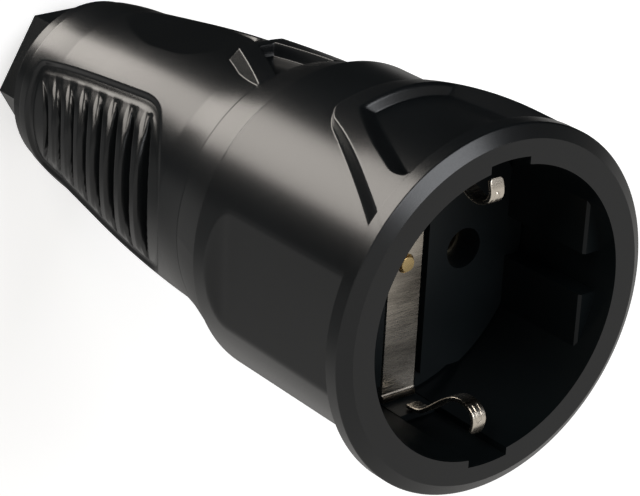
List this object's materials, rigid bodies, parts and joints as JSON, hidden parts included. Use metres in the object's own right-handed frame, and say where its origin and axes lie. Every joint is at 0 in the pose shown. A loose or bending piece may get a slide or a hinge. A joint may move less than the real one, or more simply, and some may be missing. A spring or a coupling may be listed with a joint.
{
  "type": "rubber schuko coupler",
  "caption": "Round black mains coupler socket for a flexible lead, with thumb pockets, side grip ribs, earth clips in the mouth and a cable gland nut.",
  "frame": {"origin": "centre of the gland nut's end face, on which the coupler stands", "axes": "+Z along the coupler's axis towards its mouth, -Y through the thumb pockets, X through the two pin holes"},
  "size_m": [0.05, 0.05, 0.0979],
  "materials": {
    "housing_rubber": "satin",
    "insert_plastic": "matt moulded",
    "nickel_strip": "nickel plated",
    "stud_brass": "bright",
    "cover_plastic": "matt",
    "contact_brass": "nickel plated",
    "terminal_brass": "milled",
    "screw_steel": "zinc plated",
    "core_plastic": "satin moulded",
    "jacket_rubber": "satin",
    "seal_rubber": "soft matt",
    "cage_plastic": "natural",
    "ring_plastic": "natural",
    "nut_plastic": "semi-gloss"
  },
  "bodies": {
    "front": {"front_housing": "housing_rubber", "socket_insert": "insert_plastic", "earth_strip": "nickel_strip", "earth_stud": "stud_brass", "insert_cover": "cover_plastic", "live_contact": "contact_brass", "neutral_contact": "contact_brass", "live_terminal": "terminal_brass", "neutral_terminal": "terminal_brass", "earth_terminal": "terminal_brass", "live_terminal_screw": "screw_steel", "neutral_terminal_screw": "screw_steel", "earth_terminal_screw": "screw_steel", "insert_screw_upper": "screw_steel", "insert_screw_lower": "screw_steel"},
    "rear": {"rear_housing": "core_plastic", "grip_jacket": "jacket_rubber", "joint_gasket": "seal_rubber", "clamp_cage": "cage_plastic", "cable_seal": "seal_rubber"},
    "gland": {"gland_ring": "ring_plastic"},
    "nut": {"gland_nut": "nut_plastic"}
  },
  "joints": [
    {"name": "housing_twist", "type": "hinge", "parent": "front", "child": "rear", "pos_m": [0, 0, 0.0635], "axis": [0, 0, 1], "range_deg": [0, 25]},
    {"name": "gland_feed", "type": "slide", "parent": "rear", "child": "gland", "axis": [0, 0, -1], "range_m": [0, 0.003]},
    {"name": "gland_turn", "type": "hinge", "parent": "gland", "child": "nut", "pos_m": [0, 0, 0], "axis": [0, 0, -1], "range_deg": [0, 720]}
  ],
  "couplings": [
    {"joint": "gland_turn", "follows": "gland_feed", "rad_per_m": 4188.8}
  ]
}
